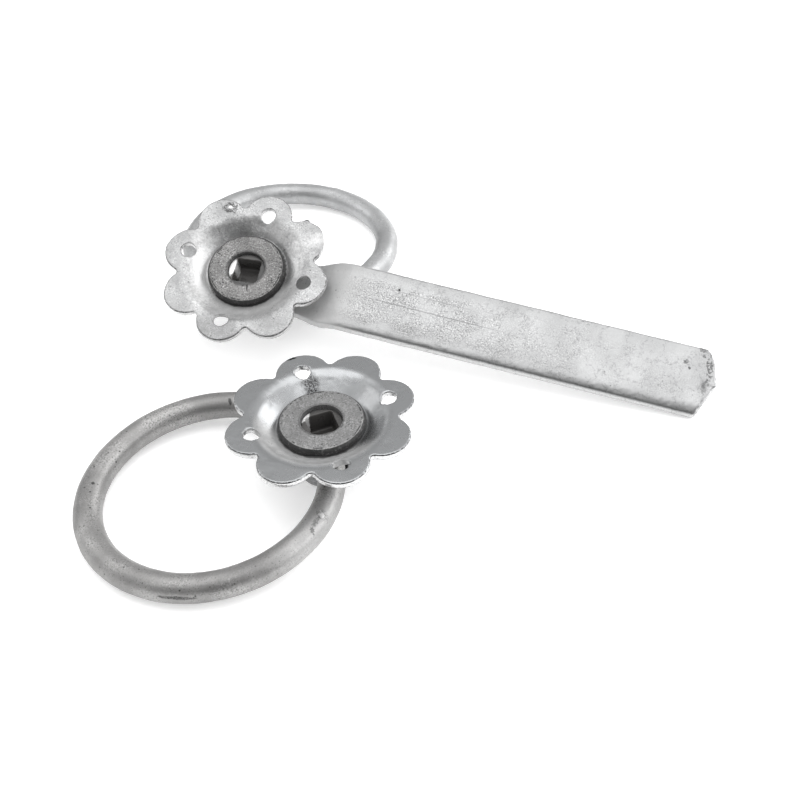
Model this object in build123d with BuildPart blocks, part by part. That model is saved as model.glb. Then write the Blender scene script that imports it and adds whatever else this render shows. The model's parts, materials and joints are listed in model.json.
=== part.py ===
from build123d import *
import os
from math import acos, atan2, cos, degrees, hypot, radians, sin

# Ring-handled gate latch, in two halves that a square spindle joins through a gate.
# Each half is modelled in its own frame: the face that meets the gate is z = 0, the
# spindle runs along z, and depths are counted downwards, away from the gate.
# Local x runs along the cross hole of the boss, which is also the way the bar points.

# Pressed rosette
sheet = 2.5
lobe_count = 8
lobe_circle_radius = 24.2
lobe_overlap = 0.74
valley_round = 1.4
sheared_edge_round = 0.4
dish_depth = 5.2
dish_rim_radius = 23.8
dish_floor_bend = 2.0
dish_rim_bend = 8.0
screw_count = 4
screw_circle_radius = 25.0
screw_hole_radius = 2.9

# Boss, turned from bar, with its shank
boss_radius = 10.0
journal_radius = 8.5
spigot_radius = 7.45
nose_round = 2.0
boss_shoulder_to_hole = 11.3
hole_to_nose = 8.3
flats_across = 17.4
spigot_length = 1.0
socket_size = 10.0
socket_depth = 8.0
running_gap = 0.2
journal_clearance = 0.08
eye_clearance = 0.05

# Retaining disc in the dish
disc_radius = 15.6
disc_thickness = 3.0
disc_clearance = 0.05
disc_edge_break = 0.9
disc_flat_depth = 0.5
disc_side_gap = 0.8

# Ring handle
rod_radius = 5.0
ring_bend_radius = 42.5
hole_clearance = 1.25
hole_mouth_round = 0.6
ring_seat_offset = 0.5

# Latch bar, a flat bar cranked towards the gate
bar_width = 28.6
bar_thickness = 5.0
bar_edge_round = 0.6
bar_face_depth = 3.4
eye_radius = 14.0
neck_width = 23.0
neck_end = 22.0
neck_root_round = 4.0
flare_end = 38.0
crank_start = 27.0
crank_end = 37.0
crank_bend = 5.0
tip_reach = 192.4
tip_far_corner = 187.0
tip_far_shoulder = 190.0
tip_far_shoulder_half_width = 10.3
tip_near_corner = 186.2
tip_corner_round = 0.8

# How the halves lie on the ground, in degrees and millimetres
bar_lean = 24.5
bar_lean_heading = -90.6
bar_ring_roll = 3.3
bar_half_distance_x = -38.5
bar_half_distance_y = 80.2
plain_ring_heading = 202.3
plain_rosette_turn = -0.6
bar_rosette_turn = -2.4
plain_socket_turn = 1.0
bar_socket_turn = 6.4
plain_flat_heading = 155.0
swing_fineness = 1e-7

# Radii that follow from the lobes and the disc
lobe_radius = lobe_circle_radius * sin(radians(180 / lobe_count)) + lobe_overlap
blank_radius = lobe_circle_radius + 2 * lobe_radius
dish_floor_radius = disc_radius + disc_side_gap

# Depths that follow from the stack of sheet, disc and boss
disc_bottom = dish_depth - running_gap
spigot_end = disc_bottom - spigot_length
boss_shoulder = dish_depth + sheet + running_gap
bar_seat_depth = boss_shoulder + bar_thickness
cross_hole_radius = rod_radius + hole_clearance
plain_hole_depth = boss_shoulder + boss_shoulder_to_hole
bar_hole_depth = plain_hole_depth + bar_thickness
ring_centre_distance = ring_bend_radius - ring_seat_offset

os.makedirs("parts", exist_ok=True)


def make_rosette(turn):
    """Flower-shaped plate of pressed sheet with a dish for the retaining disc."""
    with BuildPart() as rosette:
        with BuildSketch(Plane.XZ):
            with BuildLine():
                pressed = FilletPolyline(
                    (journal_radius + journal_clearance, -dish_depth),
                    (dish_floor_radius, -dish_depth),
                    (dish_rim_radius, 0),
                    (blank_radius, 0),
                    radius=[dish_floor_bend, dish_rim_bend],
                )
                offset(pressed, amount=sheet, side=Side.RIGHT)
            make_face()
        revolve(axis=Axis.Z)
        with BuildSketch() as flower:
            Circle(lobe_circle_radius)
            with PolarLocations(lobe_circle_radius, lobe_count, start_angle=turn):
                Circle(lobe_radius)
            fillet(flower.vertices(), valley_round)
            with PolarLocations(screw_circle_radius, screw_count, start_angle=turn):
                Circle(screw_hole_radius, mode=Mode.SUBTRACT)
        extrude(amount=-(dish_depth + sheet), mode=Mode.INTERSECT)
        rims = rosette.faces().filter_by(Plane.XY).sort_by(Axis.Z)[-1].outer_wire().edges()
        fillet(rims, sheared_edge_round)
    return rosette.part


def make_boss(hole_depth, socket_turn, has_bar_seat):
    """Turned boss with cross hole, shank through the rosette and square spindle socket."""
    shoulder = boss_shoulder
    if has_bar_seat:
        shoulder = bar_seat_depth
    nose_depth = hole_depth + hole_to_nose
    with BuildPart() as boss:
        with BuildSketch(Plane.XY.offset(-nose_depth)):
            Circle(boss_radius)
        extrude(amount=nose_depth - shoulder)
        fillet(boss.edges().sort_by(Axis.Z)[0], nose_round)
        if has_bar_seat:
            with BuildSketch(Plane.XY.offset(-shoulder)):
                Circle(boss_radius)
                Rectangle(2 * boss_radius, flats_across, mode=Mode.INTERSECT)
            extrude(amount=bar_thickness)
        with BuildSketch(Plane.XY.offset(-boss_shoulder)):
            Circle(journal_radius)
        extrude(amount=boss_shoulder - disc_bottom)
        with BuildSketch(Plane.XY.offset(-disc_bottom)):
            Circle(spigot_radius)
        extrude(amount=disc_bottom - spigot_end)
        with BuildSketch(Plane.XY.offset(-spigot_end)):
            Rectangle(socket_size, socket_size, rotation=socket_turn)
        extrude(amount=-socket_depth, mode=Mode.SUBTRACT)
        with BuildSketch(Plane.YZ):
            with Locations((0, -hole_depth)):
                Circle(cross_hole_radius)
        extrude(amount=boss_radius, both=True, mode=Mode.SUBTRACT)
        mouths = boss.faces().filter_by(GeomType.CYLINDER).sort_by(lambda f: abs(f.radius - cross_hole_radius))[0]
        fillet(mouths.edges(), hole_mouth_round)
    return boss.part


def make_disc():
    """Thick washer that keeps the shank in the rosette."""
    with BuildPart() as disc:
        with BuildSketch(Plane.XY.offset(-disc_bottom)):
            Circle(disc_radius)
            Circle(spigot_radius + disc_clearance, mode=Mode.SUBTRACT)
        extrude(amount=disc_thickness)
        chamfer(disc.faces().sort_by(Axis.Z)[-1].outer_wire().edges(), disc_edge_break)
    return disc.part


def make_ring():
    """Round bar bent to a closed ring, lying flat about its own centre."""
    with BuildPart() as ring:
        with BuildSketch(Plane.XZ):
            with Locations((ring_bend_radius, 0)):
                Circle(rod_radius)
        revolve(axis=Axis.Z)
    return ring.part


def make_bar():
    """Flat bar with an eye for the boss, a neck, a crank and a blunt hand-cut point."""
    half_width = bar_width / 2
    half_neck = neck_width / 2
    with BuildPart() as bar:
        with BuildSketch(Plane.XZ):
            with BuildLine():
                gate_face = FilletPolyline(
                    (-2 * eye_radius, -boss_shoulder),
                    (crank_start, -boss_shoulder),
                    (crank_end, -bar_face_depth),
                    (tip_reach + bar_thickness, -bar_face_depth),
                    radius=crank_bend,
                )
                offset(gate_face, amount=bar_thickness, side=Side.RIGHT)
            make_face()
        extrude(amount=bar_width, both=True)
        with BuildSketch(Plane.XY.offset(-bar_seat_depth)) as outline:
            with BuildLine():
                Line((0, half_neck), (neck_end, half_neck))
                Spline((neck_end, half_neck), (flare_end, half_width), tangents=[(1, 0), (1, 0)])
                Polyline(
                    (flare_end, half_width),
                    (tip_far_corner, half_width),
                    (tip_far_shoulder, tip_far_shoulder_half_width),
                    (tip_reach, 0),
                    (tip_near_corner, -half_width),
                    (flare_end, -half_width),
                )
                Spline((flare_end, -half_width), (neck_end, -half_neck), tangents=[(-1, 0), (-1, 0)])
                Polyline((neck_end, -half_neck), (0, -half_neck), (0, half_neck))
            make_face()
            tips = outline.vertices().filter_by(lambda v: v.X > flare_end + half_width)
            fillet(tips, tip_corner_round)
            Circle(eye_radius)
            roots = outline.vertices().filter_by(lambda v: 0 < v.X < neck_end)
            fillet(roots, neck_root_round)
        extrude(amount=bar_seat_depth, mode=Mode.INTERSECT)
        long_edges = bar.edges().filter_by(Axis.X).filter_by(lambda e: e.length > tip_reach / 2)
        fillet(long_edges, bar_edge_round)
        with BuildSketch(Plane.XY.offset(-boss_shoulder)):
            Circle(boss_radius + eye_clearance)
            Rectangle(2 * eye_radius, flats_across + 2 * eye_clearance, mode=Mode.INTERSECT)
        extrude(amount=-bar_thickness, mode=Mode.SUBTRACT)
    return bar.part


def gate_plane(x, y, lean, heading, nose_depth):
    """Plane of a half's gate face when the half stands on the rounded edge of its boss."""
    normal = Vector(sin(radians(lean)) * cos(radians(heading)),
                    sin(radians(lean)) * sin(radians(heading)),
                    cos(radians(lean)))
    height = ((nose_depth - nose_round) * cos(radians(lean))
              + (boss_radius - nose_round) * sin(radians(lean)) + nose_round)
    across = (Vector(1, 0, 0) - normal * normal.X).normalized()
    return Plane(origin=(x, y, height), x_dir=across, z_dir=normal)


def turned(plane, angle):
    """The same gate plane, turned about the spindle."""
    across = plane.x_dir * cos(radians(angle)) + plane.y_dir * sin(radians(angle))
    return Plane(origin=plane.origin, x_dir=across, z_dir=plane.z_dir)


def turn_bar_to_ground(plane):
    """Turn about the spindle that lays the bar's near end corner on the ground."""
    rise_x = plane.x_dir.Z
    rise_y = plane.y_dir.Z
    corner_y = -bar_width / 2
    corner_height = plane.origin.Z - (bar_face_depth + bar_thickness) * plane.z_dir.Z
    along = tip_near_corner * rise_x + corner_y * rise_y
    across = tip_near_corner * rise_y - corner_y * rise_x
    turn = degrees(atan2(across, along) - acos(-corner_height / hypot(along, across)))
    return turned(plane, turn)


def ring_plane(half, hole_depth, roll):
    """Plane of a ring that hangs in the cross hole and lies on the ground at its far side."""
    hole = half.origin - half.z_dir * hole_depth

    def place(swing):
        reach = half.y_dir * cos(radians(swing)) - half.z_dir * sin(radians(swing))
        facing = half.z_dir * cos(radians(swing)) + half.y_dir * sin(radians(swing))
        facing = facing * cos(radians(roll)) - half.x_dir * sin(radians(roll))
        return Plane(origin=hole + reach * ring_centre_distance, x_dir=reach, z_dir=facing)

    def clearance(swing):
        plane = place(swing)
        drop = ring_bend_radius * hypot(plane.z_dir.X, plane.z_dir.Y)
        return plane.origin.Z - drop - rod_radius

    # Between level with the gate and square to it, halved down to the swing that just touches
    clear_swing = 0.0
    buried_swing = 90.0
    while buried_swing - clear_swing > swing_fineness:
        middle = (clear_swing + buried_swing) / 2
        if clearance(middle) > 0:
            clear_swing = middle
        else:
            buried_swing = middle
    return place(clear_swing)


plain_half = gate_plane(0, 0, 0, 0, plain_hole_depth + hole_to_nose)
plain_half = turned(plain_half, plain_ring_heading - 90)
bar_half = gate_plane(bar_half_distance_x, bar_half_distance_y, bar_lean, bar_lean_heading,
                      bar_hole_depth + hole_to_nose)
bar_half = turn_bar_to_ground(bar_half)

with BuildPart() as plain_disc:
    add(make_disc())
    with BuildSketch(Plane.XY.offset(-disc_bottom)):
        with PolarLocations(2 * disc_radius - disc_flat_depth, 1, start_angle=plain_flat_heading):
            Rectangle(2 * disc_radius, 2 * disc_radius)
    extrude(amount=disc_thickness, mode=Mode.SUBTRACT)

pieces = {
    "plain_rosette": make_rosette(plain_rosette_turn).moved(plain_half.location),
    "plain_boss": make_boss(plain_hole_depth, plain_socket_turn, False).moved(plain_half.location),
    "plain_retaining_disc": plain_disc.part.moved(plain_half.location),
    "plain_ring": make_ring().moved(ring_plane(plain_half, plain_hole_depth, 0).location),
    "bar_rosette": make_rosette(bar_rosette_turn).moved(bar_half.location),
    "bar_boss": make_boss(bar_hole_depth, bar_socket_turn, True).moved(bar_half.location),
    "bar_retaining_disc": make_disc().moved(bar_half.location),
    "bar_ring": make_ring().moved(ring_plane(bar_half, bar_hole_depth, bar_ring_roll).location),
    "latch_bar": make_bar().moved(bar_half.location),
}

# The origin is on the ground, under the middle of the box round both halves
box = Compound(list(pieces.values())).bounding_box()
to_origin = Location((-box.center().X, -box.center().Y, -box.min.Z))

for name, piece in pieces.items():
    placed = piece.moved(to_origin)
    placed.label = name
    export_step(placed, "parts/" + name + ".step")
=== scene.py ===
import json
import logging
import math
from dataclasses import dataclass
from enum import Enum

import bmesh
import bpy
import numpy as np
from mathutils import Matrix, Vector


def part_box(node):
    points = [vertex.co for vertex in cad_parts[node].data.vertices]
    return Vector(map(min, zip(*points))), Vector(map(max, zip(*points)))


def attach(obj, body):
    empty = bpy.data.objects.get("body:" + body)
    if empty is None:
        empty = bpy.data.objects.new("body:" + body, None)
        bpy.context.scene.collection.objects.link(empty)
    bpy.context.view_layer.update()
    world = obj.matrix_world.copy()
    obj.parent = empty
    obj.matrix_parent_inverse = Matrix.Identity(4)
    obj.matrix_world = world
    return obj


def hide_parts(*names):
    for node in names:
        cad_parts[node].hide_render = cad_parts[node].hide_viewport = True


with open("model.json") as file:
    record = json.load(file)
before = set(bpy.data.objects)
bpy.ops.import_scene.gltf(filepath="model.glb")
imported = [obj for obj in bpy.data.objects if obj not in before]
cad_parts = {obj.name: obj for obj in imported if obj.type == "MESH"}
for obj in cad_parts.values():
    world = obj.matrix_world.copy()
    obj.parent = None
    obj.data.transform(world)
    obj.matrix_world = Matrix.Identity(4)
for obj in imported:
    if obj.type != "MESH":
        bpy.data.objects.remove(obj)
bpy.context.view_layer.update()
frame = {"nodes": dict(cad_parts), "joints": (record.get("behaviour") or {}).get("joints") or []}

log = logging.getLogger("gate_latch")

MM = 0.001
PLACE = "place_mm"
FACING = "facing"

Socket = bpy.types.NodeSocket
Span = tuple[float, float]
Ramp = tuple[float, float, float, float]
Colour = tuple[float, float, float, float]


class Side(Enum):
    """The two halves of the latch, by the prefix of their names."""

    PLAIN = "plain"
    BAR = "bar"


# Frames and meshes


@dataclass(frozen=True)
class Half:
    """One half's own frame: x along the cross hole, z out of the gate side, origin on the gate."""

    side: Side
    matrix: Matrix

    @classmethod
    def from_joints(cls, side: Side, joints: list[dict]) -> "Half":
        """Works the frame out from the half's two joints.

        Args:
            side: Which half.
            joints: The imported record's joints.

        Returns:
            The half's frame.
        """
        found = {joint["name"]: joint for joint in joints}
        turn = found[side.value + "_turn"]
        swing = found[side.value + "_ring_swing"]
        origin = Vector(turn["pos_m"])
        z = Vector(turn["axis"]).normalized()
        x = -Vector(swing["axis"]).normalized()
        y = z.cross(x)
        matrix = Matrix((x, y, z)).transposed().to_4x4()
        matrix.translation = origin
        return cls(side, matrix)

    def node(self, part: str) -> str:
        """The name of this half's node for a part."""
        return self.side.value + "_" + part


def points_of(mesh: bpy.types.Mesh) -> np.ndarray:
    """The mesh's points as an array, one row each."""
    flat = np.empty(len(mesh.vertices) * 3, np.float32)
    mesh.vertices.foreach_get("co", flat)
    return flat.reshape(-1, 3).astype(float)


def normals_of(mesh: bpy.types.Mesh) -> np.ndarray:
    """The mesh's point normals as an array, one row each."""
    flat = np.empty(len(mesh.vertices) * 3, np.float32)
    mesh.vertices.foreach_get("normal", flat)
    return flat.reshape(-1, 3).astype(float)


def set_points(mesh: bpy.types.Mesh, points: np.ndarray) -> None:
    """Moves the mesh's points to the rows of an array."""
    mesh.vertices.foreach_set("co", points.astype(np.float32).ravel())
    mesh.update()


def keep_rows(mesh: bpy.types.Mesh, name: str, rows: np.ndarray) -> None:
    """Stores one vector for each point, for the finishes to use."""
    layer = mesh.attributes.new(name, "FLOAT_VECTOR", "POINT")
    layer.data.foreach_set("vector", rows.astype(np.float32).ravel())


def smooth_step(values: np.ndarray, low: float, high: float) -> np.ndarray:
    """0 below low, 1 above high, and a smooth rise between them."""
    share = np.clip((values - low) / (high - low), 0.0, 1.0)
    return share * share * (3.0 - 2.0 * share)


@dataclass(frozen=True)
class Unevenness:
    """Smooth, seeded unevenness, a sum of plane waves in all directions."""

    width: float
    height: float
    seed: int
    waves: int = 28

    def at(self, points: np.ndarray) -> np.ndarray:
        """The unevenness at each point.

        Args:
            points: Rows of x, y, z in millimetres.

        Returns:
            One height in millimetres for each row.
        """
        draw = np.random.default_rng(self.seed)
        directions = draw.normal(size=(self.waves, 3))
        directions /= np.linalg.norm(directions, axis=1)[:, None]
        lengths = self.width * draw.uniform(0.7, 1.7, self.waves)
        phases = draw.uniform(0.0, 2.0 * math.pi, self.waves)
        total = np.zeros(len(points))
        for direction, length, phase in zip(directions, lengths, phases):
            total += np.cos(points @ direction * (2.0 * math.pi / length) + phase)
        return total * self.height * math.sqrt(2.0 / self.waves)


@dataclass(frozen=True)
class Lump:
    """A lump, burr or hollow of the zinc, in millimetres in the half's frame."""

    x: float
    y: float
    z: float
    radius: float
    height: float

    def at(self, points: np.ndarray) -> np.ndarray:
        """How far the lump raises each point, below 0 for a hollow."""
        away = np.linalg.norm(points - np.array([self.x, self.y, self.z]), axis=1)
        return self.height * np.exp(-((away / self.radius) ** 2))


# Finishes


@dataclass(frozen=True)
class Mark:
    """A patch of the finish, in millimetres and degrees in the half's frame."""

    x: float
    y: float
    length: float
    width: float
    heading: float = 0.0
    level: float = 0.08
    share: float = 0.8
    ragged: float = 0.8
    grain: float = 0.0
    soft: float = 0.2
    rim_only: bool = False
    grain_scale: float = 1.8
    z: float = 0.0
    depth: float = 1000.0


class Graph:
    """A short way to lay out a material's nodes."""

    RIM_SCALE = 0.9
    RIM_WAVER = 3.0
    RIM_BAND = (0.45, 0.75)
    MARK_GRAINS = (0.44, 0.54)

    def __init__(self, name: str) -> None:
        """Starts an empty material with one shader.

        Args:
            name: The material's name.
        """
        self.material = bpy.data.materials.new(name)
        self.material.use_nodes = True
        self.tree = self.material.node_tree
        self.tree.nodes.clear()
        output = self.tree.nodes.new("ShaderNodeOutputMaterial")
        self.shader = self.tree.nodes.new("ShaderNodeBsdfPrincipled")
        self.link(self.shader.outputs["BSDF"], output.inputs["Surface"])
        self.place = self.kept(PLACE)

    def kept(self, name: str) -> Socket:
        """The vector that the mesh keeps under a name."""
        node = self.tree.nodes.new("ShaderNodeAttribute")
        node.attribute_name = name
        return node.outputs["Vector"]

    def link(self, source: Socket, target: Socket) -> None:
        """Joins an output to an input."""
        self.tree.links.new(source, target)

    def feed(self, target: Socket, value: object) -> None:
        """Sets an input from a number, a tuple or another node's output."""
        if isinstance(value, Socket):
            self.link(value, target)
        else:
            target.default_value = value

    def noise(self, scale: float, detail: float = 4.0, roughness: float = 0.55,
              output: str = "Fac") -> Socket:
        """A noise over the piece's own millimetres.

        Args:
            scale: Features per millimetre.
            detail: Number of finer layers.
            roughness: How strong the finer layers are.
            output: Fac for one value, Color for three.

        Returns:
            The noise's output.
        """
        node = self.tree.nodes.new("ShaderNodeTexNoise")
        node.inputs["Scale"].default_value = scale
        node.inputs["Detail"].default_value = detail
        node.inputs["Roughness"].default_value = roughness
        self.link(self.place, node.inputs["Vector"])
        return node.outputs[output]

    def grains(self, scale: float) -> Socket:
        """A crisp noise, for grains of about one over scale millimetres."""
        return self.noise(scale, 3.0, 0.7)

    def tatters(self, scale: float) -> Socket:
        """A ragged noise, for broken lines and torn rims."""
        return self.noise(scale, 4.0, 0.7)

    def cells(self, scale: float, feature: str = "F1", vector: Socket | None = None) -> Socket:
        """Distances within a cell pattern.

        Args:
            scale: Cells per millimetre.
            feature: Which distance of the pattern.
            vector: Coordinates in millimetres, or the piece's own.

        Returns:
            The distance's output.
        """
        node = self.tree.nodes.new("ShaderNodeTexVoronoi")
        node.feature = feature
        node.inputs["Scale"].default_value = scale
        self.link(vector or self.place, node.inputs["Vector"])
        return node.outputs["Distance"]

    def spread(self, value: Socket, low: float, high: float,
               to_low: float = 0.0, to_high: float = 1.0) -> Socket:
        """Spreads a value from one range over another, clamped and smooth.

        Args:
            value: What is spread.
            low: The value that becomes to_low.
            high: The value that becomes to_high.
            to_low: Result at low.
            to_high: Result at high.

        Returns:
            The result's output.
        """
        node = self.tree.nodes.new("ShaderNodeMapRange")
        node.interpolation_type = "SMOOTHSTEP"
        self.link(value, node.inputs["Value"])
        turned = low > high
        node.inputs["From Min"].default_value = high if turned else low
        node.inputs["From Max"].default_value = low if turned else high
        node.inputs["To Min"].default_value = to_high if turned else to_low
        node.inputs["To Max"].default_value = to_low if turned else to_high
        return node.outputs["Result"]

    def math(self, operation: str, a: object, b: object = 0.0) -> Socket:
        """One step of arithmetic on two values."""
        node = self.tree.nodes.new("ShaderNodeMath")
        node.operation = operation
        self.feed(node.inputs[0], a)
        self.feed(node.inputs[1], b)
        return node.outputs["Value"]

    def times(self, *values: object) -> Socket:
        """The product of the values."""
        total = values[0]
        for value in values[1:]:
            total = self.math("MULTIPLY", total, value)
        return total

    def mix(self, share: object, a: object, b: object) -> Socket:
        """Mixes two colours.

        Args:
            share: How much of the second colour shows.
            a: The first colour.
            b: The second colour.

        Returns:
            The colour's output.
        """
        node = self.tree.nodes.new("ShaderNodeMix")
        node.data_type = "RGBA"
        self.feed(node.inputs[0], share)
        self.feed(node.inputs[6], a)
        self.feed(node.inputs[7], b)
        return node.outputs[2]

    def shade(self, tone: object, value: Socket) -> Socket:
        """Multiplies a colour by one value."""
        node = self.tree.nodes.new("ShaderNodeVectorMath")
        node.operation = "SCALE"
        self.feed(node.inputs[0], tone)
        self.link(value, node.inputs["Scale"])
        return node.outputs[0]

    def parts(self, vector: Socket) -> list[Socket]:
        """The x, y and z of a vector."""
        node = self.tree.nodes.new("ShaderNodeSeparateXYZ")
        self.link(vector, node.inputs[0])
        return list(node.outputs)

    def facing(self) -> Socket:
        """How much the surface faces the gate side, from -1 to 1."""
        return self.parts(self.kept(FACING))[2]

    def radius(self) -> Socket:
        """The distance from the spindle axis, in millimetres."""
        x, y, _ = self.parts(self.place)
        return self.math("SQRT", self.math("ADD", self.times(x, x), self.times(y, y)))

    def patch(self, mark: Mark) -> Socket:
        """How much a mark covers each point, with a ragged rim.

        Args:
            mark: The mark's place and size.

        Returns:
            The cover's output, from 0 to 1.
        """
        local = self.tree.nodes.new("ShaderNodeMapping")
        local.vector_type = "TEXTURE"
        local.inputs["Location"].default_value = (mark.x, mark.y, mark.z)
        local.inputs["Rotation"].default_value = (0.0, 0.0, math.radians(mark.heading))
        local.inputs["Scale"].default_value = (mark.length / 2.0, mark.width / 2.0, mark.depth / 2.0)
        self.link(self.place, local.inputs["Vector"])
        size = self.tree.nodes.new("ShaderNodeVectorMath")
        size.operation = "LENGTH"
        self.link(local.outputs["Vector"], size.inputs[0])
        waver = self.math("SUBTRACT", self.tatters(self.RIM_SCALE), 0.5)
        rim = self.math("MULTIPLY", waver, self.RIM_WAVER * mark.ragged)
        reach = self.math("ADD", size.outputs["Value"], rim)
        cover = self.spread(reach, 1.0 + mark.soft, 1.0 - mark.soft)
        if mark.rim_only:
            cover = self.times(cover, self.spread(reach, *self.RIM_BAND))
        if mark.grain:
            grains = self.spread(self.grains(mark.grain_scale), *self.MARK_GRAINS, 1.0 - mark.grain, 1.0)
            cover = self.times(cover, grains)
        return self.times(cover, mark.share)


DARK = 0.04
PALE = 0.85
NOISE_SPAN = (0.35, 0.65)


def grey(level: float, warmth: float = 0.0) -> Colour:
    """A grey of the given level, a little warm above 0 and a little cold below."""
    return (level * (1.0 + warmth), level, level * (1.0 - warmth), 1.0)


@dataclass(frozen=True)
class ZincFinish:
    """Zinc coating: cloudy tone, dark and light grains in patches, pits and marks."""

    name: str
    level: float
    cloud_scale: float = 0.07
    cloud_share: float = 0.07
    grain_scale: float = 1.2
    dark_share: float = 0.3
    dark_from: float = 0.44
    light_share: float = 0.2
    light_from: float = 0.56
    patch_scale: float = 0.1
    patch_from: float = 0.45
    even_share: float = 0.15
    pit_scale: float = 0.55
    pit_share: float = 0.55
    pit_cover: float = 0.56
    metal: float = 0.9
    roughness: float = 0.3
    bump: float = 0.2
    warmth: float = -0.01
    marks: tuple[Mark, ...] = ()
    grain_step: float = 0.07
    patch_step: float = 0.12
    pit_size: Span = (0.26, 0.12)
    fine_pit_scale: float = 2.3
    fine_pit_size: Span = (0.26, 0.1)
    fine_pit_share: float = 0.7
    pit_step: float = 0.08
    few_pits_scale: float = 0.33
    few_pits: Span = (0.5, 0.6)
    pit_dullness: float = 0.6
    dull_metal: float = 0.1
    reflectance: float = 0.25
    roughness_sway: float = 0.04
    bump_height: float = 0.15
    fold_facing: Span = (0.35, 0.55)
    flat_facing: Span = (0.95, 0.8)
    broken_scale: float = 0.9
    broken: Span = (0.42, 0.55)
    side_facing: Span = (0.6, 0.35)
    side_grain_scale: float = 1.2
    side_grains: Ramp = (0.4, 0.47, 0.25, 1.0)

    def build(self) -> bpy.types.Material:
        """Lays out the finish's nodes.

        Returns:
            The finished material.
        """
        graph = Graph(self.name)
        cloud = graph.spread(graph.noise(self.cloud_scale, 5.0, 0.6), *NOISE_SPAN,
                             1.0 - self.cloud_share, 1.0 + self.cloud_share)
        patches = self.patches(graph)
        grain = graph.grains(self.grain_scale)
        dark = graph.times(graph.spread(grain, self.dark_from, self.dark_from - self.grain_step), patches)
        light = graph.times(graph.spread(grain, self.light_from, self.light_from + self.grain_step), patches)
        pits = self.pits(graph)
        tone = graph.shade(grey(self.level, self.warmth)[:3], cloud)
        tone = graph.mix(graph.times(dark, self.dark_share), tone, grey(DARK))
        tone = graph.mix(graph.times(light, self.light_share), tone, grey(PALE))
        tone, dull = self.dress(graph, tone)
        tone = graph.mix(graph.times(pits, self.pit_share), tone, grey(DARK))
        for mark in self.marks:
            tone = graph.mix(graph.patch(mark), tone, grey(mark.level))
        graph.link(tone, graph.shader.inputs["Base Color"])
        dull = graph.math("MAXIMUM", graph.times(pits, self.pit_dullness), dull)
        graph.link(graph.spread(dull, 0.0, 1.0, self.metal, self.dull_metal), graph.shader.inputs["Metallic"])
        graph.shader.inputs["Specular IOR Level"].default_value = self.reflectance
        graph.link(graph.spread(cloud, 0.9, 1.1, self.roughness + self.roughness_sway,
                                self.roughness - self.roughness_sway), graph.shader.inputs["Roughness"])
        height = graph.math("SUBTRACT", light, graph.math("ADD", dark, pits))
        bump = graph.tree.nodes.new("ShaderNodeBump")
        bump.inputs["Strength"].default_value = self.bump
        bump.inputs["Distance"].default_value = self.bump_height * MM
        graph.link(height, bump.inputs["Height"])
        graph.link(bump.outputs["Normal"], graph.shader.inputs["Normal"])
        return graph.material

    def dress(self, graph: Graph, tone: Socket) -> tuple[Socket, object]:
        """Adds what is special to a kind of piece.

        Args:
            graph: The material's graph.
            tone: The colour so far.

        Returns:
            The new colour, and how dull the surface is.
        """
        return tone, 0.0

    def patches(self, graph: Graph) -> Socket:
        """Where the grains are dense."""
        return graph.spread(graph.noise(self.patch_scale, 5.0, 0.7), self.patch_from,
                            self.patch_from + self.patch_step, self.even_share, 1.0)

    def pits(self, graph: Graph) -> Socket:
        """Small dark pits and specks, in patches."""
        dots = graph.spread(graph.cells(self.pit_scale), *self.pit_size)
        few = graph.spread(graph.noise(self.few_pits_scale, 2.0), *self.few_pits)
        fine_dots = graph.spread(graph.cells(self.pit_scale * self.fine_pit_scale), *self.fine_pit_size)
        patches = graph.spread(graph.noise(self.cloud_scale * 2.0, 4.0, 0.65),
                               self.pit_cover, self.pit_cover + self.pit_step)
        pits = graph.math("MAXIMUM", graph.times(dots, few), graph.times(fine_dots, self.fine_pit_share))
        return graph.times(pits, patches)

    def rim_line(self, graph: Graph, radius: float, share: float) -> Socket:
        """A broken dark line, outside a radius, where a face turns over into the sheared side."""
        facing = graph.facing()
        band = graph.times(graph.spread(facing, *self.fold_facing), graph.spread(facing, *self.flat_facing))
        broken = graph.spread(graph.tatters(self.broken_scale), *self.broken)
        outside = graph.spread(graph.radius(), radius, radius + 1.0)
        return graph.times(band, outside, broken, share)

    def sheared(self, graph: Graph, radius: float, share: float) -> Socket:
        """The pale, speckled zinc on the sheared sides outside a radius."""
        upright = graph.spread(graph.math("ABSOLUTE", graph.facing()), *self.side_facing)
        outside = graph.spread(graph.radius(), radius, radius + 2.0)
        specks = graph.spread(graph.grains(self.side_grain_scale), *self.side_grains)
        return graph.times(upright, outside, specks, share)


@dataclass(frozen=True)
class DottedFinish(ZincFinish):
    """Zinc with dotted lines of grains between large, smooth crystals."""

    line_share: float = 0.45
    line_tone: float = 0.06
    crystal_scale: float = 0.12
    line_width: Span = (0.07, 0.02)
    wobble_scale: float = 0.35
    wobble_reach: Span = (5.0, 7.0)
    reach_scale: float = 0.05
    dot_scale: float = 1.3
    dots: Span = (0.47, 0.55)

    def cell_lines(self, graph: Graph) -> Socket:
        """The dotted lines between the crystals."""
        wobble = graph.noise(self.wobble_scale, 5.0, 0.5, "Color")
        reach = graph.spread(graph.noise(self.reach_scale), 0.0, 1.0, *self.wobble_reach)
        bent = graph.tree.nodes.new("ShaderNodeVectorMath")
        bent.operation = "ADD"
        graph.link(graph.place, bent.inputs[0])
        graph.link(graph.shade(wobble, reach), bent.inputs[1])
        edges = graph.cells(self.crystal_scale, "DISTANCE_TO_EDGE", bent.outputs[0])
        dots = graph.spread(graph.grains(self.dot_scale), *self.dots)
        return graph.times(graph.spread(edges, *self.line_width), dots, self.line_share)


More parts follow.
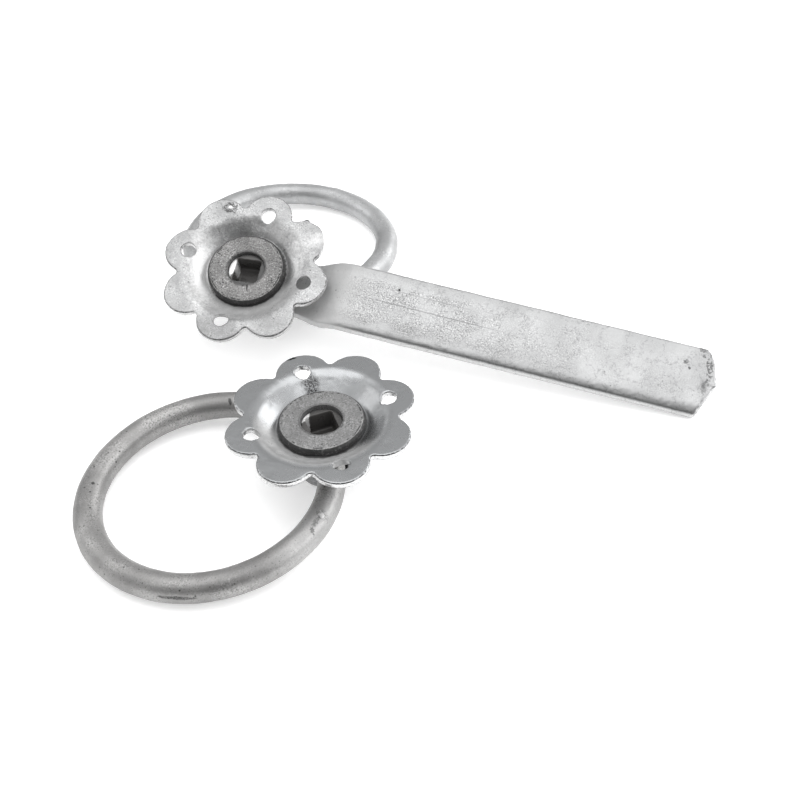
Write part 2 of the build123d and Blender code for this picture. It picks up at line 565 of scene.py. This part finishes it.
@dataclass(frozen=True)
class PressedFinish(DottedFinish):
    """A rosette's zinc: sheared rim, painted shade in the gap round the disc, and a dull near dish wall
    painted lighter.
    """

    line_share: float = 0.0
    edge_share: float = 0.8
    # Painted shade in the gap round the disc
    gap_shade_share: float = 0.8
    gap_shade_radius: float = 16.0
    gap_blur: float = 0.4
    gap_scale: float = 0.4
    gap_wander: float = 1.2
    rim_line_and_gap_shade_tone: float = 0.03
    side_radius: float = 22.0
    side_share: float = 0.9
    side_tone: float = 0.7
    line_radius: float = 26.0
    # Painted light: a lighter, dull tone on the dish wall on the near side
    near_heading: float = 0.0
    near_wall_light_share: float = 0.9
    near_wall_light_level: float = 0.42
    near_from: Span = (1.0, 11.0)
    wall_top: Span = (25.0, 22.5)
    wall_fade: Ramp = (18.5, 22.0, 1.0, 0.72)
    wall_scale: float = 0.3
    wall_least: float = 0.8

    def dress(self, graph: Graph, tone: Socket) -> tuple[Socket, object]:
        """Adds the crystals' borders, the sheared rim, the dull near wall painted lighter, and painted shade
        in the gap.
        """
        if self.line_share:
            tone = graph.mix(self.cell_lines(graph), tone, grey(self.line_tone))
        tone = graph.mix(self.sheared(graph, self.side_radius, self.side_share), tone, grey(self.side_tone))
        tone = graph.mix(self.rim_line(graph, self.line_radius, self.edge_share), tone, grey(self.rim_line_and_gap_shade_tone))
        # Painted shade: the dish floor in the gap round the disc is darkened, with a wandering edge.
        wander = graph.times(graph.math("SUBTRACT", graph.noise(self.gap_scale, 3.0), 0.5), self.gap_wander)
        radius = graph.math("ADD", graph.radius(), wander)
        gap = graph.spread(radius, self.gap_shade_radius + self.gap_blur, self.gap_shade_radius - self.gap_blur)
        gap = graph.times(gap, self.gap_shade_share)
        # Painted light: the dish wall on the near side gets a lighter, dull tone that fades outwards.
        x, y, _ = graph.parts(graph.place)
        heading = math.radians(self.near_heading)
        near = graph.math("ADD", graph.times(x, math.cos(heading)), graph.times(y, math.sin(heading)))
        wall = graph.times(graph.spread(near, *self.near_from), graph.spread(graph.radius(), *self.wall_top),
                           self.near_wall_light_share)
        uneven = graph.spread(graph.tatters(self.wall_scale), *NOISE_SPAN, self.wall_least, 1.0)
        fade = graph.times(uneven, graph.spread(radius, *self.wall_fade))
        tone = graph.mix(wall, tone, graph.shade(grey(self.near_wall_light_level)[:3], fade))
        return graph.mix(gap, tone, grey(self.rim_line_and_gap_shade_tone)), graph.math("MAXIMUM", wall, gap)


@dataclass(frozen=True)
class BarFinish(DottedFinish):
    """The latch bar's zinc: smooth strips along the edges, painted shade along the rolled near edge and a
    dull neck.
    """

    middle_scale: float = 0.08
    middle_wander: float = 12.0
    middle_width: Span = (11.5, 8.0)
    edge_grains: float = 0.25
    grain_run: Ramp = (160.0, 75.0, 0.25, 1.0)
    grain_start: Span = (38.0, 46.0)
    line_start: Span = (40.0, 60.0)
    side_radius: float = 22.0
    side_share: float = 0.9
    side_tone: float = 0.6
    upper_facing: Span = (0.12, 0.35)
    # Painted shade along the rolled near edge
    roll_shade_edge: Ramp = (50.0, 190.0, -11.4, -8.6)
    roll_shade_depth: float = -4.2
    roll_shade_start: Span = (34.0, 44.0)
    roll_shade_scale: float = 0.7
    roll_shade_breaks: Ramp = (0.35, 0.6, 0.6, 1.0)
    roll_shade_share: float = 0.36
    neck_start: Span = (14.0, 20.0)
    neck_end: Span = (56.0, 37.0)
    neck_share: float = 0.7
    neck_level: float = 0.4

    def patches(self, graph: Graph) -> Socket:
        """Dense grains along the middle, most near the neck."""
        x, y, _ = graph.parts(graph.place)
        away = graph.math("SUBTRACT", graph.noise(self.middle_scale, 3.0), 0.5)
        wander = graph.times(away, self.middle_wander)
        middle = graph.spread(graph.math("ABSOLUTE", graph.math("ADD", y, wander)), *self.middle_width)
        across = graph.spread(middle, 0.0, 1.0, self.edge_grains, 1.0)
        along = graph.times(graph.spread(x, *self.grain_run), graph.spread(x, *self.grain_start))
        return graph.times(super().patches(graph), across, along)

    def dress(self, graph: Graph, tone: Socket) -> tuple[Socket, object]:
        """Adds the crystals' borders, the pale side, painted shade along the rolled edge and the neck."""
        x, y, _ = graph.parts(graph.place)
        lines = graph.times(self.cell_lines(graph), graph.spread(x, *self.line_start))
        tone = graph.mix(lines, tone, grey(self.line_tone))
        tone = graph.mix(self.sheared(graph, self.side_radius, self.side_share), tone, grey(self.side_tone))
        # Painted shade: a broken dark band on the top face along the rolled near edge.
        inward = graph.math("SUBTRACT", y, graph.spread(x, *self.roll_shade_edge))
        upper = graph.spread(graph.facing(), *self.upper_facing)
        broken = graph.spread(graph.tatters(self.roll_shade_scale), *self.roll_shade_breaks)
        depth = graph.times(graph.spread(inward, 0.0, self.roll_shade_depth), graph.spread(x, *self.roll_shade_start))
        roll_shade = graph.times(depth, upper, broken, self.roll_shade_share)
        tone = graph.mix(roll_shade, tone, grey(self.line_tone))
        neck = graph.times(graph.spread(x, *self.neck_end), graph.spread(x, *self.neck_start))
        neck = graph.times(neck, self.neck_share)
        return graph.mix(neck, tone, grey(self.neck_level)), neck


@dataclass(frozen=True)
class DiscFinish(ZincFinish):
    """A disc's zinc: coarse grains, and painted shade on the side and at the hole edge."""

    side_share: float = 0.95
    side_tone: float = 0.02
    edge_facing: Span = (0.97, 0.8)
    edge_radius: Span = (13.4, 14.2)
    hole_radius: Span = (8.5, 8.0)
    hole_share: float = 0.5
    line_radius: float = 14.2
    line_width: Span = (0.4, 0.12)
    line_facing: Span = (0.8, 0.9)
    line_share: float = 0.8
    # Breaks in the painted shade on the disc's edge
    worn: Ramp = (0.35, 0.5, 0.75, 1.0)
    chip_scale: float = 0.35
    chips: Span = (0.5, 0.55)

    def dress(self, graph: Graph, tone: Socket) -> tuple[Socket, object]:
        """Adds the scored line, and painted shade on the side and at the hole edge."""
        facing = graph.facing()
        radius = graph.radius()
        # Painted shade: darkens the rolled edge and side of the disc and the edge of its hole.
        broken = graph.spread(graph.tatters(self.broken_scale), *self.worn)
        rim = graph.times(graph.spread(facing, *self.edge_facing), graph.spread(radius, *self.edge_radius))
        hole = graph.times(graph.spread(radius, *self.hole_radius), self.hole_share)
        side = graph.times(graph.math("MAXIMUM", graph.times(rim, broken), hole), self.side_share)
        away = graph.math("ABSOLUTE", graph.math("SUBTRACT", radius, self.line_radius))
        line = graph.times(graph.spread(away, *self.line_width), graph.spread(facing, *self.line_facing))
        line = graph.times(line, graph.spread(graph.tatters(self.chip_scale), *self.chips), self.line_share)
        tone = graph.mix(line, tone, grey(self.side_tone))
        return graph.mix(side, tone, grey(self.side_tone)), side


@dataclass(frozen=True)
class TurnedFinish(ZincFinish):
    """A boss's zinc, with painted shade, dark and dull, deep inside the spindle socket."""

    socket_shade_share: float = 0.95
    socket_shade_level: float = 0.05
    socket_shade_warmth: float = 0.05
    hollow_radius: Span = (7.4, 7.2)
    hollow_from: Span = (-3.2, -4.2)

    def dress(self, graph: Graph, tone: Socket) -> tuple[Socket, object]:
        """Adds painted shade, dark and dull, deep inside the socket."""
        z = graph.parts(graph.place)[2]
        # Painted shade: darkens the deep inside of the socket.
        inside = graph.spread(graph.radius(), *self.hollow_radius)
        inside = graph.times(inside, graph.spread(z, *self.hollow_from))
        dark = grey(self.socket_shade_level, self.socket_shade_warmth)
        return graph.mix(graph.times(inside, self.socket_shade_share), tone, dark), inside


# Pieces


@dataclass
class ZincPiece:
    """A galvanised piece: a fine copy of its solid, with soft edges and an uneven skin."""

    half: Half
    part: str
    body: str
    slot: str
    finish: ZincFinish
    voxel: float = 0.45
    smoothing: int = 3
    weld: float = 0.001
    skin: tuple[Unevenness, ...] = ()
    lumps: tuple[Lump, ...] = ()
    node_name: str = ""

    def __post_init__(self) -> None:
        """Fills in the node's name."""
        if not self.node_name:
            self.node_name = self.half.node(self.part)

    def copy_solid(self) -> bpy.types.Object:
        """Copies the solid's mesh into the half's own frame, in millimetres, welded.

        Returns:
            The new object.
        """
        mesh = frame["nodes"][self.node_name].data.copy()
        mesh.name = "zinc_" + self.node_name
        mesh.materials.clear()
        mesh.transform(Matrix.Scale(1.0 / MM, 4) @ self.half.matrix.inverted())
        piece = bpy.data.objects.new("zinc_" + self.node_name, mesh)
        bpy.context.scene.collection.objects.link(piece)
        work = bmesh.new()
        work.from_mesh(mesh)
        bmesh.ops.remove_doubles(work, verts=work.verts, dist=self.weld)
        work.to_mesh(mesh)
        work.free()
        return piece

    def refine(self, piece: bpy.types.Object) -> None:
        """Remeshes the piece to even, small faces and softens its edges."""
        remesh = piece.modifiers.new("even", "REMESH")
        remesh.mode = "VOXEL"
        remesh.voxel_size = self.voxel
        remesh.adaptivity = 0.0
        soften = piece.modifiers.new("soften", "SMOOTH")
        soften.factor = 0.5
        soften.iterations = self.smoothing
        bpy.context.view_layer.update()
        evaluated = piece.evaluated_get(bpy.context.evaluated_depsgraph_get())
        mesh = bpy.data.meshes.new_from_object(evaluated)
        piece.modifiers.clear()
        piece.data = mesh
        mesh.name = piece.name

    def hold(self, points: np.ndarray) -> np.ndarray:
        """How far each point may leave the solid, from 0 at a fit to 1 in the open."""
        return np.ones(len(points))

    def shape(self, points: np.ndarray) -> np.ndarray:
        """Moves the points by what is special to the piece."""
        return points

    def roughen(self, piece: bpy.types.Object) -> None:
        """Lays the uneven skin and the lumps on the piece."""
        points = points_of(piece.data)
        normals = normals_of(piece.data)
        height = np.zeros(len(points))
        for layer in self.skin:
            height += layer.at(points)
        for lump in self.lumps:
            height += lump.at(points)
        points = self.shape(points)
        set_points(piece.data, points + normals * (height * self.hold(points))[:, None])

    def build(self) -> bpy.types.Object:
        """Builds, dresses and hands over the piece.

        Returns:
            The finished object.
        """
        piece = self.copy_solid()
        self.refine(piece)
        self.roughen(piece)
        piece.data.shade_smooth()
        piece.data.materials.append(self.finish.build())
        keep_rows(piece.data, PLACE, points_of(piece.data))
        keep_rows(piece.data, FACING, normals_of(piece.data))
        piece.data.transform(self.half.matrix @ Matrix.Scale(MM, 4))
        low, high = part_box(self.node_name)
        set_points(piece.data, np.clip(points_of(piece.data), low, high))
        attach(piece, self.body)
        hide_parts(self.node_name)
        log.info("%s: %d faces", piece.name, len(piece.data.polygons))
        return piece


@dataclass
class Rosette(ZincPiece):
    """Pressed flower-shaped plate, with burrs and bent lobes where the photograph has them."""

    fit_radius: float = 17.5
    free_radius: float = 21.0

    def hold(self, points: np.ndarray) -> np.ndarray:
        """Holds the dish floor, where the disc and the shank run."""
        radius = np.hypot(points[:, 0], points[:, 1])
        return smooth_step(radius, self.fit_radius, self.free_radius)


@dataclass
class LatchBar(ZincPiece):
    """Flat bar with a rolled near edge and a ragged, pitted end."""

    hub_radius: float = 22.0
    hub_fade: float = 6.0
    face_z: float = -3.4
    thickness: float = 5.0
    half_width: float = 14.3
    seat_z: float = -7.9
    crank: Span = (27.0, 37.0)
    crank_bend: float = 5.0
    soft_crank: Span = (25.0, 43.0)
    roll_width: Span = (2.6, 5.0)
    roll_drop: Span = (0.6, 1.15)
    far_roll_width: float = 2.5
    far_roll_drop: float = 0.12
    roll_start: float = 33.0
    roll_fade: float = 12.0
    roll_layer: Span = (0.8, 0.15)
    roll_ends: Span = (45.0, 185.0)
    end_start: float = 183.0
    end_fade: float = 4.0
    rag: Unevenness = Unevenness(2.4, 0.28, 75)

    def hold(self, points: np.ndarray) -> np.ndarray:
        """Holds the hub, which turns close under the rosette."""
        radius = np.hypot(points[:, 0], points[:, 1])
        return smooth_step(radius, self.hub_radius, self.hub_radius + self.hub_fade)

    def crank_height(self, x: np.ndarray) -> np.ndarray:
        """Height of the solid's gate face along the bar, with its two round bends."""
        start, end = self.crank
        angle = math.atan2(self.face_z - self.seat_z, end - start)
        back = self.crank_bend * math.tan(angle / 2.0)
        reach = self.crank_bend * math.sin(angle)
        low = np.clip(x - start + back, 0.0, reach)
        high = np.clip(end + back - x, 0.0, reach)
        low_arc = self.seat_z + self.crank_bend - np.sqrt(self.crank_bend ** 2 - low ** 2)
        high_arc = self.face_z - self.crank_bend + np.sqrt(self.crank_bend ** 2 - high ** 2)
        straight = np.interp(x, self.crank, (self.seat_z, self.face_z))
        upper_half = np.where(x > end + back - reach, high_arc, straight)
        return np.where(x < start - back + reach, low_arc, upper_half)

    def shape(self, points: np.ndarray) -> np.ndarray:
        """Softens the crank, rolls the long edges over and makes the cut end ragged."""
        x, y, z = points.T
        lowest, highest = (self.face_z - self.thickness * share for share in self.roll_layer)
        upper = smooth_step(z, lowest, highest)
        along = smooth_step(x, self.roll_start, self.roll_start + self.roll_fade)
        width = np.interp(x, self.roll_ends, self.roll_width)
        near_drop = np.interp(x, self.roll_ends, self.roll_drop)
        near = np.clip((width - self.half_width - y) / width, 0.0, 1.0)
        far = np.clip((self.far_roll_width - self.half_width + y) / self.far_roll_width, 0.0, 1.0)
        drop = (near_drop * near ** 2 + self.far_roll_drop * far ** 2) * upper * along
        soft = self.seat_z + (self.face_z - self.seat_z) * smooth_step(x, *self.soft_crank)
        shaped = points.copy()
        shaped[:, 2] += soft - self.crank_height(x) - drop
        end = smooth_step(x, self.end_start, self.end_start + self.end_fade)
        shaped[:, 0] -= np.abs(self.rag.at(points)) * end
        return shaped


@dataclass
class Handle(ZincPiece):
    """Ring handle of round bar."""


@dataclass
class Turned(ZincPiece):
    """Boss, held true where it runs."""

    seat_depth: Span = (9.0, 12.0)

    def hold(self, points: np.ndarray) -> np.ndarray:
        """Holds the shank and the seat under the rosette."""
        return smooth_step(-points[:, 2], *self.seat_depth)


@dataclass
class Disc(ZincPiece):
    """Retaining disc with a worn, grainy face."""

    underside: Span = (-4.6, -3.6)

    def hold(self, points: np.ndarray) -> np.ndarray:
        """Holds the underside, which lies close over the dish."""
        return smooth_step(points[:, 2], *self.underside)


# Studio


@dataclass(frozen=True)
class Viewpoint:
    """Where the photograph was taken from, fitted to the outlines of both halves."""

    aside: float = 55.951 * MM
    back: float = 296.274 * MM
    height: float = 314.636 * MM
    down_angle: float = 39.405
    focal_px: float = 1168.953
    centre_px: Span = (480.027, 319.112)
    frame_px: float = 800.0
    sensor: float = 36.0

    def place(self, half: Half) -> None:
        """Makes the camera, placed from the plain half's spindle axis.

        Args:
            half: The plain half.
        """
        data = bpy.data.cameras.new("viewpoint")
        data.sensor_width = self.sensor
        data.lens = self.focal_px / self.frame_px * self.sensor
        data.shift_x = 0.5 - self.centre_px[0] / self.frame_px
        data.shift_y = self.centre_px[1] / self.frame_px - 0.5
        data.clip_start = 0.01
        camera = bpy.data.objects.new("viewpoint", data)
        bpy.context.scene.collection.objects.link(camera)
        foot = half.matrix.translation
        camera.location = (foot.x + self.aside, foot.y - self.back, self.height)
        camera.rotation_euler = (math.radians(90.0 - self.down_angle), 0.0, 0.0)
        bpy.context.scene.camera = camera


@dataclass(frozen=True)
class Bearing:
    """A direction seen from the object: heading from +X towards +Y, height, and distance."""

    heading: float
    height: float
    distance: float = 1.3

    def place(self) -> Vector:
        """The point in the room."""
        heading, height = math.radians(self.heading), math.radians(self.height)
        level = math.cos(height)
        towards = Vector((level * math.cos(heading), level * math.sin(heading), math.sin(height)))
        return towards * self.distance


@dataclass(frozen=True)
class Softbox:
    """A large soft lamp."""

    name: str
    bearing: Bearing
    size: Span
    radiance: float

    def build(self) -> None:
        """Hangs the lamp, pointing at the object."""
        data = bpy.data.lights.new(self.name, "AREA")
        data.shape = "RECTANGLE"
        data.size, data.size_y = self.size
        data.energy = self.radiance * math.pi * self.size[0] * self.size[1]
        lamp = bpy.data.objects.new(self.name, data)
        bpy.context.scene.collection.objects.link(lamp)
        place = self.bearing.place()
        lamp.location = place
        lamp.rotation_euler = (-place).to_track_quat("-Z", "Y").to_euler()


@dataclass(frozen=True)
class Card:
    """A grey card of the studio, seen only in the metal."""

    name: str
    bearing: Bearing
    size: Span
    level: float

    def build(self) -> None:
        """Stands the card up, facing the object."""
        bpy.ops.mesh.primitive_plane_add(size=1.0)
        card = bpy.context.active_object
        card.name = self.name
        place = self.bearing.place()
        card.scale = (self.size[0], self.size[1], 1.0)
        card.location = place
        card.rotation_euler = (-place).to_track_quat("Z", "Y").to_euler()
        card.visible_camera = False
        card.visible_shadow = False
        card.visible_diffuse = False
        material = bpy.data.materials.new(self.name)
        material.use_nodes = True
        tree = material.node_tree
        tree.nodes.clear()
        output = tree.nodes.new("ShaderNodeOutputMaterial")
        glow = tree.nodes.new("ShaderNodeEmission")
        glow.inputs["Color"].default_value = grey(1.0)
        glow.inputs["Strength"].default_value = self.level
        tree.links.new(glow.outputs["Emission"], output.inputs["Surface"])
        card.data.materials.append(material)


@dataclass(frozen=True)
class Studio:
    """White floor, white surroundings, soft lamps and grey cards."""

    floor_size: float = 6.0
    floor_level: float = 0.9
    floor_glow: float = 0.3
    ambient: float = 1.0
    boxes: tuple[Softbox, ...] = (
        Softbox("top_box", Bearing(90.0, 88.0, 1.2), (1.2, 1.0), 1.45),
        Softbox("right_box", Bearing(34.0, 27.0, 1.4), (1.6, 0.75), 3.0),
        Softbox("left_box", Bearing(165.0, 32.0, 1.4), (0.6, 0.6), 1.8),
        Softbox("front_right_box", Bearing(-22.0, 36.0, 1.4), (0.7, 0.6), 2.2),
    )
    cards: tuple[Card, ...] = (
        Card("front_card", Bearing(-90.0, 27.0), (2.6, 1.1), 0.05),
        Card("back_card", Bearing(90.0, 40.0), (1.5, 0.6), 0.6),
        Card("left_card", Bearing(130.0, 7.0), (1.1, 0.4), 0.22),
    )

    def build(self) -> None:
        """Sets up the floor, the world and the lamps."""
        self.build_floor()
        self.build_world()
        for box in self.boxes:
            box.build()
        for card in self.cards:
            card.build()
        bpy.context.scene.view_settings.view_transform = "Standard"

    def build_floor(self) -> None:
        """Lays the plain pale floor that keeps the object's soft shadow."""
        bpy.ops.mesh.primitive_plane_add(size=self.floor_size)
        floor = bpy.context.active_object
        floor.name = "floor"
        graph = Graph("floor")
        graph.shader.inputs["Base Color"].default_value = grey(self.floor_level)
        graph.shader.inputs["Roughness"].default_value = 0.9
        graph.shader.inputs["Emission Color"].default_value = grey(1.0)
        graph.shader.inputs["Emission Strength"].default_value = self.floor_glow
        floor.data.materials.append(graph.material)

    def build_world(self) -> None:
        """Makes the surroundings white to the camera and the metal, and soft for the rest."""
        world = bpy.data.worlds.new("studio")
        bpy.context.scene.world = world
        world.use_nodes = True
        tree = world.node_tree
        tree.nodes.clear()
        output = tree.nodes.new("ShaderNodeOutputWorld")
        background = tree.nodes.new("ShaderNodeBackground")
        background.inputs["Color"].default_value = grey(1.0)
        path = tree.nodes.new("ShaderNodeLightPath")
        seen = tree.nodes.new("ShaderNodeMath")
        seen.operation = "MAXIMUM"
        tree.links.new(path.outputs["Is Camera Ray"], seen.inputs[0])
        tree.links.new(path.outputs["Is Glossy Ray"], seen.inputs[1])
        shown = tree.nodes.new("ShaderNodeMath")
        shown.operation = "MAXIMUM"
        tree.links.new(seen.outputs[0], shown.inputs[0])
        tree.links.new(path.outputs["Is Transmission Ray"], shown.inputs[1])
        strength = tree.nodes.new("ShaderNodeMapRange")
        tree.links.new(shown.outputs[0], strength.inputs["Value"])
        strength.inputs["To Min"].default_value = self.ambient
        strength.inputs["To Max"].default_value = 1.0
        tree.links.new(strength.outputs["Result"], background.inputs["Strength"])
        tree.links.new(background.outputs["Background"], output.inputs["Surface"])


# Assembly


@dataclass(frozen=True)
class PlainHalf:
    """The half without the bar: a smooth rosette, its boss and disc, and the near ring."""

    rosette: PressedFinish = PressedFinish(
        "plain_pressed_zinc", 0.35, cloud_share=0.05, dark_share=0.08, light_share=0.05, pit_cover=0.6,
        pit_share=0.35, roughness=0.27, bump=0.05, warmth=-0.02, near_heading=142.0,
        marks=(
            Mark(33.1, 1.9, 1.1, 3.6, level=0.02, share=0.95, ragged=0.7),
            Mark(19.4, -1.6, 9.0, 6.0, level=0.02, share=0.95, ragged=0.5, grain=0.65, soft=0.4),
            # Painted shade: the next two grey patches tone down the reflections on the dish's right wall.
            Mark(-17.0, -9.0, 9.0, 6.0, 60.0, level=0.2, share=0.35, ragged=0.5, soft=0.6),
            Mark(3.0, -19.8, 13.0, 6.0, 10.0, level=0.15, share=0.42, ragged=0.5, soft=0.6),
        ))
    boss: TurnedFinish = TurnedFinish(
        "plain_turned_zinc", 0.24, dark_share=0.6, even_share=0.6,
        # Painted highlight: the pale patch beside the square socket.
        marks=(Mark(5.2, 4.6, 5.0, 2.2, 140.0, level=0.75, share=0.8, ragged=0.4),))
    disc: DiscFinish = DiscFinish(
        "plain_disc_zinc", 0.25, cloud_share=0.15, grain_scale=1.7, dark_share=0.7, dark_from=0.46,
        light_share=0.3, even_share=0.45, metal=0.75, roughness=0.42, bump=0.35, warmth=0.0)
    ring: ZincFinish = ZincFinish(
        "plain_ring_zinc", 0.29, cloud_share=0.16, cloud_scale=0.05, grain_scale=1.6, dark_share=0.6,
        dark_from=0.46, patch_scale=0.05, patch_from=0.48, even_share=0.15, pit_cover=0.42, pit_share=0.9,
        metal=0.75, roughness=0.42, bump=0.25, warmth=0.012,
        marks=(
            # Painted highlight: the first, pale patch lightens the ring's right-hand part.
            Mark(-35.0, 13.0, 34.0, 14.0, 125.0, level=0.55, share=0.4, ragged=0.5, grain=0.3, soft=0.6),
            Mark(13.0, 87.0, 56.0, 9.0, -18.0, level=0.07, share=0.55, ragged=0.3, grain=0.4, soft=0.6),
            Mark(-44.0, 42.0, 4.0, 26.0, 8.0, level=0.1, share=0.4, ragged=0.5, grain=0.5, soft=0.6),
            Mark(-42.4, 62.5, 13.0, 5.0, 64.7, level=0.03, share=0.85, ragged=0.4, grain=0.5, z=-20.4,
                 depth=1.3),
            Mark(-36.0, 15.0, 2.2, 1.4, level=0.05, share=0.6, ragged=1.0),
            Mark(-31.0, 10.0, 2.4, 1.7, level=0.75, share=0.4, ragged=1.2),
            Mark(-31.0, 10.0, 4.4, 3.2, level=0.05, share=0.6, ragged=1.2, grain=0.7, rim_only=True),
            Mark(-33.4, 13.0, 5.0, 1.6, 130.0, level=0.05, share=0.6, ragged=1.4, grain=0.8),
            Mark(15.6, 79.9, 1.2, 1.2, level=0.03, ragged=0.5),
            Mark(36.7, 26.2, 2.2, 1.2, level=0.04, ragged=0.8),
        ))

    def build(self, half: Half) -> None:
        """Builds the half's four pieces.

        Args:
            half: The half's frame.
        """
        fine = Unevenness(2.2, 0.008, 11)
        broad = Unevenness(9.0, 0.03, 12)
        boss = half.node("boss")
        Rosette(half, "rosette", "rosettes", "zinc_pressed", self.rosette, voxel=0.42, skin=(fine, broad),
                lumps=(Lump(-2.8, -35.2, -2.0, 0.8, 0.5),)).build()
        Turned(half, "boss", boss, "zinc_turned", self.boss, voxel=0.4, skin=(fine, broad)).build()
        Disc(half, "retaining_disc", boss, "zinc_disc", self.disc, voxel=0.3, skin=(fine,)).build()
        Handle(half, "ring", half.node("ring"), "zinc_ring", self.ring, voxel=0.5, skin=(fine, broad)).build()


@dataclass(frozen=True)
class BarHalf:
    """The half with the latch bar: a mottled, dented rosette, boss, disc, ring and bar."""

    rosette: PressedFinish = PressedFinish(
        "bar_pressed_zinc", 0.37, cloud_share=0.14, cloud_scale=0.1, grain_scale=1.7, dark_share=0.4,
        dark_from=0.46, light_share=0.4, even_share=0.3, line_share=0.25, pit_cover=0.5, pit_share=0.7,
        edge_share=0.8, gap_shade_share=0.95, gap_shade_radius=16.1, metal=0.8, roughness=0.34, bump=0.3, warmth=-0.005,
        near_heading=-74.6, near_wall_light_share=0.75, near_wall_light_level=0.42,
        marks=(
            # Painted highlights: the first five, pale patches light the bent lobe and the dish walls.
            Mark(24.5, 19.5, 8.0, 6.0, 40.0, level=0.7, share=0.45, ragged=0.8, soft=0.6),
            Mark(-16.8, -6.5, 8.5, 30.0, 20.0, level=0.75, share=0.62, ragged=0.8, soft=0.7),
            Mark(17.0, 15.5, 5.0, 14.0, 40.0, level=0.6, share=0.4, ragged=1.0, grain=0.4, soft=0.6),
            Mark(3.0, 19.8, 20.0, 7.0, -12.0, level=0.8, share=0.42, ragged=1.0, grain=0.4, soft=0.6),
            Mark(17.0, 8.5, 6.0, 14.0, 28.0, level=0.8, share=0.42, ragged=1.0, grain=0.4, soft=0.6),
            Mark(-15.2, 23.9, 5.4, 4.2, level=0.04, share=0.8, ragged=1.0, rim_only=True),
            Mark(-15.2, 23.9, 1.6, 1.2, level=0.95, share=0.8, ragged=0.5),
            Mark(17.2, 27.0, 3.8, 1.3, 20.0, level=0.03, share=0.9, ragged=1.0),
            Mark(0.0, -31.0, 16.0, 14.0, level=0.16, share=0.4, ragged=1.0, soft=0.5),
            Mark(19.0, -23.0, 16.0, 14.0, level=0.2, share=0.35, ragged=0.8, soft=0.5),
        ))
    boss: TurnedFinish = TurnedFinish(
        "bar_turned_zinc", 0.4, dark_share=0.4, even_share=0.4,
        marks=(
            # Painted shade and highlight: two dark patches and one pale patch round the square socket.
            Mark(5.8, -1.0, 3.0, 12.0, level=0.08, share=0.85, ragged=0.5),
            Mark(0.0, -5.8, 12.0, 3.0, level=0.08, share=0.85, ragged=0.5),
            Mark(-6.2, 0.0, 2.6, 8.0, level=0.95, share=0.9, ragged=0.3),
        ))
    disc: DiscFinish = DiscFinish(
        "bar_disc_zinc", 0.2, cloud_share=0.18, grain_scale=1.6, dark_share=0.9, dark_from=0.47,
        light_share=0.3, even_share=0.5, metal=0.75, roughness=0.4, bump=0.5, warmth=0.01,
        marks=(Mark(3.3, -7.6, 3.8, 0.5, -72.0, level=0.01, share=1.0, ragged=0.2),))
    ring: ZincFinish = ZincFinish(
        "bar_ring_zinc", 0.39, cloud_share=0.1, dark_share=0.2, pit_cover=0.55, metal=0.8, roughness=0.45,
        warmth=-0.01)
    bar: BarFinish = BarFinish(
        "bar_zinc", 0.37, cloud_share=0.06, grain_scale=1.8, dark_share=0.5, dark_from=0.47, light_share=0.5,
        light_from=0.53, patch_scale=0.12, patch_from=0.44, even_share=0.35, line_share=0.25, pit_cover=0.55,
        metal=0.8, roughness=0.36, bump=0.3, warmth=-0.006,
        marks=(
            Mark(184.9, 13.2, 3.4, 2.2, level=0.03, ragged=1.4, grain=0.7),
            Mark(185.4, 10.6, 1.6, 1.4, level=0.04, ragged=1.2, grain=0.5),
            Mark(179.3, 6.6, 2.4, 2.0, level=0.03, ragged=1.2, grain=0.5),
            Mark(180.9, 4.3, 1.2, 1.0, level=0.04),
            Mark(187.6, -2.5, 5.0, 2.0, 100.0, level=0.07, share=0.65, ragged=1.2, grain=0.5,
                 grain_scale=0.9),
            Mark(188.4, 6.5, 13.0, 2.4, 95.0, level=0.04, share=0.7, ragged=1.0, grain=1.0,
                 grain_scale=0.8),
            Mark(62.4, 7.4, 1.0, 0.8, level=0.02, share=1.0, ragged=0.2),
            Mark(85.0, 12.8, 110.0, 5.0, level=0.15, share=0.2, ragged=0.3, soft=0.6),
            Mark(85.0, -10.0, 110.0, 7.0, level=0.15, share=0.22, ragged=0.3, soft=0.6),
            Mark(78.0, 0.5, 64.0, 0.5, -0.5, level=0.06, share=0.5, ragged=0.3, grain=0.6),
            Mark(72.0, 6.5, 44.0, 0.4, -1.0, level=0.06, share=0.4, ragged=0.3, grain=0.8),
        ))

    def build(self, half: Half) -> None:
        """Builds the half's five pieces.

        Args:
            half: The half's frame.
        """
        fine = Unevenness(2.2, 0.02, 41)
        broad = Unevenness(9.0, 0.08, 42)
        boss = half.node("boss")
        Rosette(half, "rosette", "rosettes", "zinc_pressed", self.rosette, voxel=0.42, skin=(fine, broad),
                lumps=(Lump(17.2, 27.0, -0.8, 1.3, 1.4), Lump(-15.2, 23.9, 0.0, 1.8, 0.8),
                       Lump(24.5, 19.5, 0.0, 4.5, -0.7))).build()
        Turned(half, "boss", boss, "zinc_turned", self.boss, voxel=0.4, skin=(fine, broad)).build()
        Disc(half, "retaining_disc", boss, "zinc_disc", self.disc, voxel=0.3, skin=(fine,)).build()
        Handle(half, "ring", half.node("ring"), "zinc_ring", self.ring, voxel=0.5, skin=(fine, broad)).build()
        LatchBar(half, "bar", boss, "zinc_bar", self.bar, voxel=0.45,
                 skin=(Unevenness(2.0, 0.02, 71), Unevenness(14.0, 0.03, 72)), smoothing=6,
                 lumps=(Lump(188.3, -2.0, -3.4, 2.2, -0.6), Lump(191.8, -0.6, -4.0, 1.0, 0.5)),
                 node_name="latch_bar").build()


def main() -> None:
    """Builds the latch, the studio and the camera."""
    logging.basicConfig(level=logging.INFO, format="%(name)s: %(message)s")
    plain = Half.from_joints(Side.PLAIN, frame["joints"])
    bar = Half.from_joints(Side.BAR, frame["joints"])
    PlainHalf().build(plain)
    BarHalf().build(bar)
    Studio().build()
    Viewpoint().place(plain)


if __name__ == "__main__":
    main()
